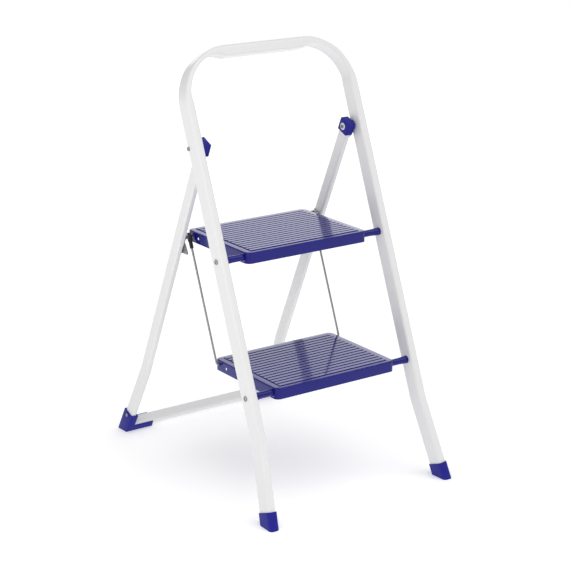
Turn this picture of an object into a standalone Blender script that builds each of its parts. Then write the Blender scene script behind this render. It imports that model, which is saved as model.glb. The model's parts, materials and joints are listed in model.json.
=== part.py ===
"""Folding two-step stool: a leaning tube hoop, a rear leg frame, two hinged steps and their link rods.

Metres, +Z up. X runs across the stool, -Y is the side a person climbs from.
The origin is on the floor, in the middle of the space that the four feet cover.
"""

import math

import bmesh
import bpy
from mathutils import Matrix, Vector

# Overall sizes
FRONT_LEAN = math.radians(21.5)      # front legs from the vertical
FRAME_WIDTH = 0.384                  # over the straight part of the hoop
HOOP_LENGTH = 0.875                  # from the floor to the top of the hoop, along the legs
STEP_RISE = 0.2325
LOWER_AXLE_HEIGHT = 0.2165
HINGE_HEIGHT = 0.640

# Hoop tube
TUBE_WIDTH = 0.0165                  # across the stool
TUBE_DEPTH = 0.034
TUBE_CORNER = 0.0050
TUBE_WALL = 0.0012
HOOP_CORNER_RADIUS = 0.086
FRONT_KNEE = 0.162                   # where the legs turn outward, along the legs
FRONT_FLARE = math.radians(5.8)
KNEE_RADIUS = 0.10
FRONT_TUBE_END = 0.0195              # where the tube stops inside its foot, along the legs

# Rear frame tube
REAR_WIDTH = 0.337
REAR_TUBE_WIDTH = 0.012
REAR_TUBE_DEPTH = 0.024
REAR_TUBE_CORNER = 0.0035
REAR_KNEE = 0.541                    # below the hinge, along the legs
REAR_FLARE = math.radians(4.7)
REAR_CORNER_RADIUS = 0.014
REAR_BAR_HEIGHT = 0.0040             # lowest edge of the floor bar
REAR_TUBE_TOP = 0.010                # above the hinge, along the legs
HINGE_OFFSET = 0.0115                # hinge axis behind the middle of the hoop tube

# Steps
STEP_WIDTH = 0.271
STEP_FRONT = 0.0160                  # axle to the front face
STEP_BACK = 0.1900                   # axle to the rear face
STEP_TOP = 0.0107                    # top face above the axle
STEP_SKIRT = 0.021
STEP_CORNER = 0.011
STEP_WALL = 0.0012
AXLE_RADIUS = 0.0065
AXLE_WALL = 0.0012
PIN_BACK = 0.171                     # rear pins behind the axle
PIN_RISE = 0.0038                    # rear pins above the axle
PIN_RADIUS = 0.0030
PIN_AHEAD = 0.0014                   # rear pins ahead of the middle of the rear legs
SPARE_HOLE_AHEAD = 0.020             # empty hole ahead of the rear pins
SPARE_HOLE_DROP = 0.004
SPARE_HOLE_RADIUS = 0.0028

# Link rods and their plastic ends
ROD_OFFSET = 0.0075                  # step side to the middle of the rod
ROD_RADIUS = 0.0020
ROD_BEND = 0.0050
ROD_TOP_GAP = 0.012                  # rod starts this far below its upper pin
ROD_END_WIDTH = 0.0060
ROD_END_DEPTH = 0.0092
ROD_END_ABOVE = 0.0050
ROD_END_BELOW = 0.011
ROD_END_TAIL = 0.026
ROD_TAIL_DEPTH = 0.0058
ROD_NUT_RADIUS = 0.0048
ROD_NUT_THICK = 0.0016

# Brackets on the rear legs that the step's pins rest in
BRACKET_SHEET = 0.0018
BRACKET_REACH = 0.0078               # shelf across the stool
BRACKET_TAB = 0.015                  # tab ahead of the leg
BRACKET_LENGTH = 0.036
BRACKET_RIVET_RADIUS = 0.0032

# Hinge
HINGE_WALL = 0.0022
HINGE_ABOVE = 0.0135
HINGE_BELOW = 0.0165
HINGE_RIVET_RADIUS = 0.0025
HINGE_HEAD_RADIUS = 0.0042
WASHER_RADIUS = 0.0068
WASHER_THICK = 0.0012
SPACER_RADIUS = 0.0105
SPACER_TAIL = 0.023

# Axle rivets
AXLE_RIVET_RADIUS = 0.0030
AXLE_HEAD_RADIUS = 0.0050
RIVET_HEAD_THICK = 0.0016
RIVET_HOLLOW_RADIUS = 0.0019
AXLE_RIVET_GRIP = 0.010

# Feet
FOOT_WALL = 0.0018
FRONT_FOOT_HEIGHT = 0.036
REAR_FOOT_HEIGHT = 0.034
REAR_FOOT_REACH = 0.052
FOOT_EDGE = 0.0015

GAP = 0.0003                         # between pieces that touch
RUN = 0.0005                         # around pieces that turn
ROUND_STEPS = 20
RIVET_STEPS = 14
SECTION_STEPS = 2                    # per corner of a tube

COLOURS = {
    "white_paint": ((0.85, 0.86, 0.87), 0.32, 0.0),
    "blue_paint": ((0.035, 0.035, 0.17), 0.22, 0.0),
    "blue_plastic": ((0.035, 0.035, 0.33), 0.42, 0.0),
    "black_plastic": ((0.015, 0.015, 0.018), 0.45, 0.0),
    "zinc": ((0.62, 0.63, 0.65), 0.28, 1.0),
}


# ---------------------------------------------------------------- places

def leg_offset(across):
    """Horizontal distance that a distance square to the front legs takes up."""
    return across / math.cos(FRONT_LEAN)


def tube_middle(height):
    """Distance of the hoop tube's middle behind the front face of the legs at the floor."""
    return height * math.tan(FRONT_LEAN) + leg_offset(TUBE_DEPTH / 2)


def rear_lean():
    """The rear legs lean as far as it takes to pass the upper step's pins."""
    upper_axle_height = LOWER_AXLE_HEIGHT + STEP_RISE
    back = tube_middle(upper_axle_height) + PIN_BACK - HINGE_FROM_FRONT
    down = HINGE_HEIGHT - upper_axle_height - PIN_RISE
    return math.atan2(back, down) + math.asin(PIN_AHEAD / math.hypot(back, down))


FOOT_OUT = FOOT_WALL + GAP
HINGE_FROM_FRONT = tube_middle(HINGE_HEIGHT) + leg_offset(HINGE_OFFSET)
REAR_LEAN = rear_lean()
FOOTPRINT_FRONT = -leg_offset(FOOT_OUT)
FOOTPRINT_BACK = (HINGE_FROM_FRONT + HINGE_HEIGHT * math.tan(REAR_LEAN)
                  + (REAR_TUBE_DEPTH / 2 + FOOT_OUT) / math.cos(REAR_LEAN))
FRONT_Y = -(FOOTPRINT_FRONT + FOOTPRINT_BACK) / 2     # front face of the legs at the floor

FRONT_MATRIX = Matrix.Translation((0, FRONT_Y, 0)) @ Matrix.Rotation(-FRONT_LEAN, 4, "X")
HINGE = Vector((0, FRONT_Y + HINGE_FROM_FRONT, HINGE_HEIGHT))
REAR_MATRIX = Matrix.Translation(HINGE) @ Matrix.Rotation(REAR_LEAN, 4, "X")


def axle_place(height):
    """Middle of the hoop tube at a height."""
    return Vector((0, FRONT_Y + tube_middle(height), height))


LOWER_AXLE = axle_place(LOWER_AXLE_HEIGHT)
UPPER_AXLE = axle_place(LOWER_AXLE_HEIGHT + STEP_RISE)
PIN_FROM_AXLE = Vector((0, PIN_BACK, PIN_RISE))
UPPER_PIN = UPPER_AXLE + PIN_FROM_AXLE
LOWER_PIN = LOWER_AXLE + PIN_FROM_AXLE

HOOP_HALF = (FRAME_WIDTH - TUBE_WIDTH) / 2            # to the middle of the tube
LEG_INSIDE = FRAME_WIDTH / 2 - TUBE_WIDTH
REAR_HALF = (REAR_WIDTH - REAR_TUBE_WIDTH) / 2
REAR_INSIDE = REAR_WIDTH / 2 - REAR_TUBE_WIDTH
REAR_BAR = ((REAR_BAR_HEIGHT - HINGE_HEIGHT + REAR_TUBE_DEPTH / 2 * math.sin(REAR_LEAN))
            / math.cos(REAR_LEAN) + REAR_TUBE_WIDTH / 2)
REAR_BAR_HALF = REAR_HALF + (-REAR_KNEE - REAR_BAR) * math.tan(REAR_FLARE)
ROD_X = STEP_WIDTH / 2 + ROD_OFFSET
ROD_END_INSIDE = ROD_X - ROD_END_WIDTH / 2
HINGE_BLOCK_INSIDE = REAR_INSIDE - GAP - HINGE_WALL
HINGE_BLOCK_OUTSIDE = REAR_WIDTH / 2 + GAP + HINGE_WALL
SIDES = {"left": -1, "right": 1}


# ---------------------------------------------------------------- scene helpers

def clear_scene():
    for thing in list(bpy.data.objects):
        bpy.data.objects.remove(thing, do_unlink=True)


def make_collection(name):
    collection = bpy.data.collections.new(name)
    bpy.context.scene.collection.children.link(collection)
    return collection


def make_materials():
    made = {}
    for name, (colour, roughness, metallic) in COLOURS.items():
        material = bpy.data.materials.new(name)
        material.use_nodes = True
        shader = material.node_tree.nodes["Principled BSDF"]
        shader.inputs["Base Color"].default_value = (*colour, 1)
        shader.inputs["Roughness"].default_value = roughness
        shader.inputs["Metallic"].default_value = metallic
        material.diffuse_color = (*colour, 1)
        made[name] = material
    return made


clear_scene()
PARTS = make_collection("step_stool")
CUTTERS = make_collection("cutters")
MATERIALS = make_materials()


def make_empty(name, matrix, parent=None):
    empty = bpy.data.objects.new(name, None)
    empty.empty_display_size = 0.03
    PARTS.objects.link(empty)
    empty.parent = parent
    empty.matrix_local = matrix
    return empty


def place(piece, material=None, parent=None, location=(0, 0, 0), rotation=(0, 0, 0), name=None):
    """Put a finished piece into its collection, under its parent."""
    for collection in list(piece.users_collection):
        collection.objects.unlink(piece)
    PARTS.objects.link(piece)
    piece.parent = parent
    piece.location = location
    piece.rotation_euler = rotation
    if name:
        piece.name = name
    if material:
        if piece.data.materials:
            piece.data.materials[0] = MATERIALS[material]
        else:
            piece.data.materials.append(MATERIALS[material])
    return piece


def as_cutter(piece):
    for collection in list(piece.users_collection):
        collection.objects.unlink(piece)
    CUTTERS.objects.link(piece)
    piece.hide_render = True
    piece.display_type = "WIRE"
    return piece


def boolean(piece, tool, operation="DIFFERENCE"):
    modifier = piece.modifiers.new(operation.lower(), "BOOLEAN")
    modifier.operation = operation
    modifier.solver = "EXACT"
    modifier.object = as_cutter(tool)


def bevel(piece, width, segments=2):
    modifier = piece.modifiers.new("edges", "BEVEL")
    modifier.width = width
    modifier.segments = segments
    modifier.limit_method = "ANGLE"
    modifier.angle_limit = math.radians(40)


def smooth(piece, angle=35):
    piece.data.shade_smooth()
    piece.data.set_sharp_from_angle(angle=math.radians(angle))
    return piece


def mesh_from_curve(curve_object):
    """Turn a curve object into a welded mesh object at the same place."""
    bpy.context.view_layer.update()
    evaluated = curve_object.evaluated_get(bpy.context.evaluated_depsgraph_get())
    mesh = bpy.data.meshes.new_from_object(evaluated)
    shape = bmesh.new()
    shape.from_mesh(mesh)
    bmesh.ops.remove_doubles(shape, verts=shape.verts, dist=0.00001)
    shape.to_mesh(mesh)
    shape.free()
    name = curve_object.name
    matrix = curve_object.matrix_world.copy()
    curve = curve_object.data
    bpy.data.objects.remove(curve_object)
    bpy.data.curves.remove(curve)
    made = bpy.data.objects.new(name, mesh)
    made.matrix_world = matrix
    bpy.context.scene.collection.objects.link(made)
    return made


def face_outward(piece):
    shape = bmesh.new()
    shape.from_mesh(piece.data)
    bmesh.ops.recalc_face_normals(shape, faces=shape.faces)
    shape.to_mesh(piece.data)
    shape.free()


# ---------------------------------------------------------------- shape helpers

def arc(centre, radius, start, end, steps):
    """Points along an arc, both ends included."""
    return [(centre[0] + radius * math.cos(start + (end - start) * k / steps),
             centre[1] + radius * math.sin(start + (end - start) * k / steps))
            for k in range(steps + 1)]


def rounded_rectangle(width, depth, radius, steps=SECTION_STEPS):
    """Corner arcs of a rectangle around the origin, counterclockwise."""
    points = []
    for quarter, (sx, sy) in enumerate(((1, 1), (-1, 1), (-1, -1), (1, -1))):
        centre = (sx * (width / 2 - radius), sy * (depth / 2 - radius))
        points += arc(centre, radius, quarter * math.pi / 2, (quarter + 1) * math.pi / 2, steps)
    return points


def rounded_path(corners, radii, turn_step=math.radians(11)):
    """A line through the corners, each turned with its radius."""
    path = [Vector(corners[0])]
    for before, corner, after, radius in zip(corners, corners[1:], corners[2:], radii):
        before, corner, after = Vector(before), Vector(corner), Vector(after)
        into = (corner - before).normalized()
        out = (after - corner).normalized()
        turn = into.angle(out)
        tangent = radius * math.tan(turn / 2)
        bisector = (out - into).normalized()
        centre = corner + bisector * (radius / math.cos(turn / 2))
        count = max(2, round(turn / turn_step))
        start = corner - into * tangent - centre
        side = 1 if into.x * out.y - into.y * out.x > 0 else -1
        for k in range(count + 1):
            swing = side * turn * k / count
            path.append(centre + Vector((start.x * math.cos(swing) - start.y * math.sin(swing),
                                         start.x * math.sin(swing) + start.y * math.cos(swing))))
    path.append(Vector(corners[-1]))
    return path


def flat_curve(name, points, closed=True):
    curve = bpy.data.curves.new(name, "CURVE")
    curve.dimensions = "2D"
    spline = curve.splines.new("POLY")
    spline.points.add(len(points) - 1)
    for knot, point in zip(spline.points, points):
        knot.co = (point[0], point[1], 0, 1)
    spline.use_cyclic_u = closed
    made = bpy.data.objects.new(name, curve)
    bpy.context.scene.collection.objects.link(made)
    return made


def outline_solid(name, points, thickness):
    """A flat outline in XY, as thick as asked along Z, centred on its plane."""
    made = flat_curve(name, points)
    made.data.fill_mode = "BOTH"
    made.data.extrude = thickness / 2
    return mesh_from_curve(made)


def side_plate(name, points, inside, outside, side):
    """An outline in (Y, Z), between two distances from the middle of the stool."""
    made = outline_solid(name, points, outside - inside)
    made.data.transform(Matrix.Translation((side * (inside + outside) / 2, 0, 0))
                        @ Matrix.Rotation(math.pi / 2, 4, "Z") @ Matrix.Rotation(math.pi / 2, 4, "X"))
    return made


def swept_tube(name, path, width, depth, corner, wall=None):
    """A flat-sided tube along a path in (X, Z): hollow with open ends, or solid with no wall."""
    section = flat_curve(name + "_section", rounded_rectangle(width, depth, corner))
    made = flat_curve(name, path, closed=False)
    made.data.fill_mode = "NONE"
    made.data.bevel_mode = "OBJECT"
    made.data.bevel_object = section
    made.data.use_fill_caps = wall is None
    made = mesh_from_curve(made)
    made.data.transform(Matrix.Rotation(math.pi / 2, 4, "X"))
    face_outward(made)
    as_cutter(section)
    if wall:
        shell = made.modifiers.new("wall", "SOLIDIFY")
        shell.thickness = wall
        shell.offset = -1
        shell.use_even_offset = True
    return made


def box(name, low, high):
    bpy.ops.mesh.primitive_cube_add(size=1)
    made = bpy.context.object
    made.name = name
    size = [b - a for a, b in zip(low, high)]
    middle = [(a + b) / 2 for a, b in zip(low, high)]
    made.data.transform(Matrix.Translation(middle) @ Matrix.Diagonal((*size, 1)))
    return made


def cross_bar(name, radius, inside, outside, side, y=0, z=0, sides=RIVET_STEPS):
    """A round bar across the stool."""
    bpy.ops.mesh.primitive_cylinder_add(vertices=sides, radius=radius, depth=outside - inside)
    made = bpy.context.object
    made.name = name
    made.data.transform(Matrix.Translation((side * (inside + outside) / 2, y, z))
                        @ Matrix.Rotation(math.pi / 2, 4, "Y"))
    return made


def turned(name, profile, sides=ROUND_STEPS):
    """A turned piece around Z, from (radius, height) pairs, top first."""
    mesh = bpy.data.meshes.new(name)
    shape = bmesh.new()
    made_points = [shape.verts.new((radius, 0, height)) for radius, height in profile]
    for first, second in zip(made_points, made_points[1:]):
        shape.edges.new((first, second))
    shape.to_mesh(mesh)
    shape.free()
    made = bpy.data.objects.new(name, mesh)
    bpy.context.scene.collection.objects.link(made)
    spin = made.modifiers.new("turn", "SCREW")
    spin.steps = sides
    spin.render_steps = sides
    spin.use_merge_vertices = True
    spin.merge_threshold = 0.00001
    spin.use_normal_calculate = False
    return made


def across(side):
    """Turns a piece's Z axis to point out of the stool's side."""
    return (0, side * math.pi / 2, 0)


# ---------------------------------------------------------------- hoop and its feet

def front_path(end):
    run_out = (FRONT_KNEE - end) * math.tan(FRONT_FLARE)
    top = HOOP_LENGTH - TUBE_WIDTH / 2
    return rounded_path(
        [(-HOOP_HALF - run_out, end), (-HOOP_HALF, FRONT_KNEE), (-HOOP_HALF, top),
         (HOOP_HALF, top), (HOOP_HALF, FRONT_KNEE), (HOOP_HALF + run_out, end)],
        [KNEE_RADIUS, HOOP_CORNER_RADIUS, HOOP_CORNER_RADIUS, KNEE_RADIUS])


def front_local(world):
    return FRONT_MATRIX.inverted() @ world


def make_front_frame(front):
    hoop = swept_tube("front_frame", front_path(FRONT_TUBE_END), TUBE_WIDTH, TUBE_DEPTH, TUBE_CORNER,
                      TUBE_WALL)
    hoop.data.transform(Matrix.Translation((0, TUBE_DEPTH / 2, 0)))
    for side in SIDES.values():
        for spot, radius in ((HINGE, HINGE_RIVET_RADIUS + RUN), (LOWER_AXLE, AXLE_RIVET_RADIUS + RUN),
                             (UPPER_AXLE, AXLE_RIVET_RADIUS + RUN)):
            local = front_local(spot)
            hole = cross_bar("hoop_hole", radius, LEG_INSIDE - 0.01, FRAME_WIDTH / 2 + 0.01, side,
                             local.y, local.z)
            hole.parent = front
            boolean(hoop, hole)
    place(hoop, "white_paint", front)
    smooth(hoop)


def make_front_foot(label, side, front):
    """A plastic cap on the end of a leg, with its sole flat on the floor."""
    knee = make_empty(f"front_knee_{label}", Matrix.Translation((side * HOOP_HALF, TUBE_DEPTH / 2, FRONT_KNEE))
                      @ Matrix.Rotation(-side * FRONT_FLARE, 4, "Y"), front)
    run = FRONT_KNEE / math.cos(FRONT_FLARE)
    outer = rounded_rectangle(TUBE_WIDTH + 2 * FOOT_OUT, TUBE_DEPTH + 2 * FOOT_OUT, TUBE_CORNER + FOOT_OUT)
    inner = rounded_rectangle(TUBE_WIDTH + 2 * GAP, TUBE_DEPTH + 2 * GAP, TUBE_CORNER + GAP)
    low, high = -run - 0.03, -run + FRONT_FOOT_HEIGHT
    cap = outline_solid(f"front_foot_{label}", outer, high - low)
    cap.data.transform(Matrix.Translation((0, 0, (low + high) / 2)))
    pocket_low = -(FRONT_KNEE - FRONT_TUBE_END) / math.cos(FRONT_FLARE) - GAP
    pocket = outline_solid("front_foot_pocket", inner, 0.1)
    pocket.data.transform(Matrix.Translation((0, 0, pocket_low + 0.05)))
    pocket.parent = knee
    boolean(cap, pocket)
    boolean(cap, box("floor", (-0.5, -0.6, -0.2), (0.5, 0.6, 0)))
    place(cap, "blue_plastic", knee)
    smooth(cap)


# ---------------------------------------------------------------- rear frame and its feet

def rear_path():
    corner = (REAR_BAR_HALF, REAR_BAR)
    return rounded_path(
        [(-REAR_HALF, REAR_TUBE_TOP), (-REAR_HALF, -REAR_KNEE), (-corner[0], corner[1]), corner,
         (REAR_HALF, -REAR_KNEE), (REAR_HALF, REAR_TUBE_TOP)],
        [KNEE_RADIUS, REAR_CORNER_RADIUS, REAR_CORNER_RADIUS, KNEE_RADIUS], math.radians(14))


def bracket_rivet_spots():
    """Places of the bracket's two rivets, down the rear leg from the hinge."""
    pin = REAR_MATRIX.inverted() @ UPPER_PIN
    return [pin.z - BRACKET_LENGTH * share for share in (0.38, 0.72)]


def foot_rivet_spot():
    return REAR_BAR + REAR_FOOT_HEIGHT * 0.72


def make_rear_frame(rear):
    frame = swept_tube("rear_frame", rear_path(), REAR_TUBE_WIDTH, REAR_TUBE_DEPTH, REAR_TUBE_CORNER,
                       TUBE_WALL)
    for side in SIDES.values():
        hole = cross_bar("rear_hinge_hole", HINGE_RIVET_RADIUS + RUN, REAR_INSIDE - 0.005,
                         REAR_WIDTH / 2 + 0.005, side)
        hole.parent = rear
        boolean(frame, hole)
        for height in bracket_rivet_spots():
            hole = cross_bar("bracket_hole", BRACKET_RIVET_RADIUS / 2 + GAP, REAR_INSIDE - 0.004,
                             REAR_INSIDE + REAR_TUBE_WIDTH / 2, side, 0, height, 12)
            hole.parent = rear
            boolean(frame, hole)
        hole = cross_bar("foot_rivet_hole", BRACKET_RIVET_RADIUS / 2 + GAP, REAR_BAR_HALF - 0.001,
                         REAR_BAR_HALF + 0.02, side, 0, foot_rivet_spot(), 12)
        hole.parent = rear
        boolean(frame, hole)
    place(frame, "white_paint", rear)
    smooth(frame)


def make_rear_foot(label, side, rear):
    """A plastic shoe around the corner of the rear frame, with its sole flat on the floor."""
    half_depth = REAR_TUBE_DEPTH / 2 + FOOT_OUT
    half_width = REAR_TUBE_WIDTH / 2 + FOOT_OUT
    corner = make_empty(f"rear_corner_{label}", Matrix.Translation((side * REAR_BAR_HALF, 0, REAR_BAR))
                        @ Matrix.Rotation(-side * REAR_FLARE, 4, "Y"), rear)
    shoe = box(f"rear_foot_{label}", (-half_width, -half_depth, -0.03), (half_width, half_depth, REAR_FOOT_HEIGHT))
    bevel(shoe, FOOT_EDGE)
    reach = sorted((side * (REAR_BAR_HALF + half_width - 0.001), side * (REAR_BAR_HALF - REAR_FOOT_REACH)))
    tongue = box("rear_foot_tongue", (reach[0], -half_depth + 0.0001, REAR_BAR - 0.03),
                 (reach[1], half_depth - 0.0001, REAR_BAR + 0.0005))
    tongue.parent = rear
    boolean(shoe, tongue, "UNION")
    tube = swept_tube("rear_foot_pocket", rear_path(), REAR_TUBE_WIDTH + 2 * GAP, REAR_TUBE_DEPTH + 2 * GAP,
                      REAR_TUBE_CORNER + GAP)
    tube.parent = rear
    boolean(shoe, tube)
    boolean(shoe, box("floor", (-0.5, -0.6, -0.2), (0.5, 0.6, 0)))
    hole = cross_bar("foot_rivet_hole", BRACKET_RIVET_RADIUS / 2 + GAP, REAR_BAR_HALF - 0.001,
                     REAR_BAR_HALF + 0.02, side, 0, foot_rivet_spot(), 12)
    hole.parent = rear
    boolean(shoe, hole)
    place(shoe, "blue_plastic", corner)


# ---------------------------------------------------------------- hinge

def make_hinge(label, side, front, rear):
    half_depth = REAR_TUBE_DEPTH / 2 + GAP + HINGE_WALL
    low, high = sorted((side * HINGE_BLOCK_INSIDE, side * HINGE_BLOCK_OUTSIDE))
    block = box(f"hinge_block_{label}", (low, -half_depth, -HINGE_BELOW), (high, half_depth, HINGE_ABOVE))
    bevel(block, 0.0012)
    pocket = outline_solid("hinge_pocket", rounded_rectangle(REAR_TUBE_WIDTH + 2 * GAP, REAR_TUBE_DEPTH + 2 * GAP,
                                                            REAR_TUBE_CORNER + GAP), 0.06)
    pocket.data.transform(Matrix.Translation((side * REAR_HALF, 0, REAR_TUBE_TOP + GAP - 0.03)))
    pocket.parent = rear
    boolean(block, pocket)
    bore = cross_bar("hinge_bore", HINGE_RIVET_RADIUS + RUN, HINGE_BLOCK_INSIDE - 0.005,
                     HINGE_BLOCK_OUTSIDE + 0.005, side)
    bore.parent = rear
    boolean(block, bore)
    place(block, "blue_plastic", rear)

    tail = [(-SPACER_RADIUS * 0.55, -SPACER_TAIL), (SPACER_RADIUS * 0.15, -SPACER_TAIL)]
    outline = tail + arc((0, 0), SPACER_RADIUS, 0, math.pi, 10)
    spacer = side_plate(f"hinge_spacer_{label}", outline, HINGE_BLOCK_OUTSIDE + GAP, LEG_INSIDE - GAP, side)
    bore = cross_bar("spacer_bore", HINGE_RIVET_RADIUS + RUN, HINGE_BLOCK_OUTSIDE - 0.005, LEG_INSIDE + 0.005,
                     side)
    bore.parent = rear
    boolean(spacer, bore)
    place(spacer, "blue_plastic", rear)

    washer_outside = HINGE_BLOCK_INSIDE - GAP
    washer = turned(f"hinge_washer_{label}", [
        (HINGE_RIVET_RADIUS + RUN, WASHER_THICK), (WASHER_RADIUS, WASHER_THICK), (WASHER_RADIUS, 0),
        (HINGE_RIVET_RADIUS + RUN, 0), (HINGE_RIVET_RADIUS + RUN, WASHER_THICK)])
    place(washer, "zinc", rear, (side * (washer_outside - WASHER_THICK), 0, 0), across(side))

    outer = FRAME_WIDTH / 2 + GAP
    inner = washer_outside - WASHER_THICK - GAP
    length = outer - inner
    rivet = turned(f"hinge_rivet_{label}", rivet_profile(HINGE_RIVET_RADIUS, HINGE_HEAD_RADIUS, length),
                   RIVET_STEPS)
    local = front_local(HINGE)
    place(rivet, "zinc", front, (side * inner, local.y, local.z), across(side))


def rivet_profile(shank, head, grip, tail_head=True):
    """A rivet along Z: its lower head's inner face at 0, a hollow in the outer head."""
    top = grip + RIVET_HEAD_THICK
    hollow = min(RIVET_HOLLOW_RADIUS, shank * 0.7)
    profile = [(0, top - RIVET_HEAD_THICK), (hollow, top - RIVET_HEAD_THICK), (hollow, top),
               (head * 0.8, top), (head, grip + RIVET_HEAD_THICK * 0.5), (head, grip), (shank, grip)]
    if tail_head:
        profile += [(shank, 0), (head, 0), (head, -RIVET_HEAD_THICK * 0.5), (head * 0.8, -RIVET_HEAD_THICK),
                    (0, -RIVET_HEAD_THICK)]
    else:
        profile += [(shank, 0), (0, 0)]
    return profile


# ---------------------------------------------------------------- axles and steps

def make_axle(level, spot, front):
    local = front_local(spot)
    length = LEG_INSIDE - GAP
    inner = AXLE_RADIUS - AXLE_WALL
    axle = turned(f"{level}_axle", [(inner, length), (AXLE_RADIUS, length), (AXLE_RADIUS, -length),
                                    (inner, -length), (inner, length)])
    place(axle, "blue_paint", front, (0, local.y, local.z), across(1))
    smooth(axle)
    for label, side in SIDES.items():
        inside = LEG_INSIDE - AXLE_RIVET_GRIP
        rivet = turned(f"{level}_axle_rivet_{label}",
                       rivet_profile(AXLE_RIVET_RADIUS, AXLE_HEAD_RADIUS, FRAME_WIDTH / 2 + GAP - inside, False),
                       RIVET_STEPS)
        place(rivet, "zinc", front, (side * inside, local.y, local.z), across(side))


def make_step(level, turning):
    """A pressed tray: a top with its edges folded down all round."""
    width, depth = STEP_WIDTH, STEP_BACK + STEP_FRONT
    outline = outline_solid(f"{level}_step", rounded_rectangle(width, depth, STEP_CORNER, 4), STEP_SKIRT)
    shape = bmesh.new()
    shape.from_mesh(outline.data)
    bottom = [face for face in shape.faces if face.normal.z < -0.5]
    bmesh.ops.delete(shape, geom=bottom, context="FACES")
    shape.to_mesh(outline.data)
    shape.free()
    outline.data.transform(Matrix.Translation((0, (STEP_BACK - STEP_FRONT) / 2, STEP_TOP - STEP_SKIRT / 2)))
    shell = outline.modifiers.new("wall", "SOLIDIFY")
    shell.thickness = STEP_WALL
    shell.offset = -1
    shell.use_even_offset = True
    for side in SIDES.values():
        spots = [(AXLE_RADIUS + RUN, 0, 0), (PIN_RADIUS + RUN, PIN_BACK, PIN_RISE),
                 (SPARE_HOLE_RADIUS, PIN_BACK - SPARE_HOLE_AHEAD, PIN_RISE - SPARE_HOLE_DROP)]
        for radius, y, z in spots:
            hole = cross_bar(f"{level}_step_hole", radius, STEP_WIDTH / 2 - 0.008, STEP_WIDTH / 2 + 0.008,
                             side, y, z)
            hole.parent = turning
            boolean(outline, hole)
    place(outline, "blue_paint", turning)


def make_step_pin(label, side, turning):
    """The pin that carries the upper step on the rear leg's bracket."""
    inside = STEP_WIDTH / 2 - STEP_WALL - GAP
    outside = REAR_INSIDE - GAP - BRACKET_SHEET - GAP
    length = outside - inside
    pin = turned(f"step_pin_{label}", [(0, length), (PIN_RADIUS - 0.0005, length), (PIN_RADIUS, length - 0.0005),
                                       (PIN_RADIUS, 0), (PIN_RADIUS + 0.0016, 0), (PIN_RADIUS + 0.0016, -0.0014),
                                       (0, -0.0014)])
    place(pin, "zinc", turning, (side * inside, PIN_BACK, PIN_RISE), across(side))


# ---------------------------------------------------------------- link rods

def rod_direction():
    return (LOWER_PIN - UPPER_PIN).normalized()


def make_rod(label, side, linkage):
    """A steel rod, bent inward at its foot to turn in the lower step."""
    down = rod_direction()
    drop = LOWER_PIN - UPPER_PIN
    inner = STEP_WIDTH / 2 - STEP_WALL - 0.0045
    start = down * ROD_TOP_GAP
    knots = [Vector((side * ROD_X, start.y, start.z))]
    foot = Vector((side * ROD_X, drop.y, drop.z))
    for k in range(5):
        turn = math.pi / 2 * k / 4
        knots.append(foot - down * ROD_BEND * (1 - math.sin(turn))
                     - Vector((side * ROD_BEND * (1 - math.cos(turn)), 0, 0)))
    knots.append(Vector((side * inner, drop.y, drop.z)))
    curve = bpy.data.curves.new(f"link_rod_{label}", "CURVE")
    curve.dimensions = "3D"
    curve.bevel_depth = ROD_RADIUS
    curve.bevel_resolution = 2
    curve.use_fill_caps = True
    spline = curve.splines.new("POLY")
    spline.points.add(len(knots) - 1)
    for knot, point in zip(spline.points, knots):
        knot.co = (*point, 1)
    rod = bpy.data.objects.new(f"link_rod_{label}", curve)
    bpy.context.scene.collection.objects.link(rod)
    rod = mesh_from_curve(rod)
    place(rod, "zinc", linkage)
    smooth(rod, 50)

    nut_outside = STEP_WIDTH / 2 - STEP_WALL - GAP
    nut = turned(f"rod_nut_{label}", [
        (ROD_RADIUS + GAP, ROD_NUT_THICK), (ROD_NUT_RADIUS, ROD_NUT_THICK), (ROD_NUT_RADIUS, 0),
        (ROD_RADIUS + GAP, 0), (ROD_RADIUS + GAP, ROD_NUT_THICK)])
    place(nut, "zinc", linkage, (side * (nut_outside - ROD_NUT_THICK), drop.y, drop.z), across(side))


def make_rod_end(label, side, linkage):
    """The plastic end of a rod: a head that turns on the step's pin, and a sleeve down the rod."""
    lean = math.atan2(-rod_direction().y, -rod_direction().z)
    half = ROD_END_DEPTH / 2
    tail = ROD_TAIL_DEPTH / 2
    points = [(half, ROD_END_ABOVE), (-half, ROD_END_ABOVE), (-half, -ROD_END_BELOW + 0.002),
              (-tail, -ROD_END_BELOW - 0.002), (-tail, -ROD_END_TAIL), (tail, -ROD_END_TAIL),
              (tail, -ROD_END_BELOW - 0.002), (half, -ROD_END_BELOW + 0.002)]
    head = side_plate(f"rod_end_{label}", points, ROD_END_INSIDE, ROD_END_INSIDE + ROD_END_WIDTH, side)
    bevel(head, 0.0010)
    bore = cross_bar("rod_end_bore", PIN_RADIUS + RUN, ROD_END_INSIDE - 0.005,
                     ROD_END_INSIDE + ROD_END_WIDTH + 0.005, side)
    bore.parent = linkage
    boolean(head, bore)
    bpy.ops.mesh.primitive_cylinder_add(vertices=16, radius=ROD_RADIUS + GAP, depth=0.1)
    channel = bpy.context.object
    channel.name = "rod_end_channel"
    channel.data.transform(Matrix.Rotation(-lean, 4, "X")
                           @ Matrix.Translation((0, 0, -ROD_TOP_GAP + GAP - 0.05)))
    channel.data.transform(Matrix.Translation((side * ROD_X, 0, 0)))
    channel.parent = linkage
    boolean(head, channel)
    place(head, "black_plastic", linkage, rotation=(-lean, 0, 0))


# ---------------------------------------------------------------- brackets on the rear legs

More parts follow.
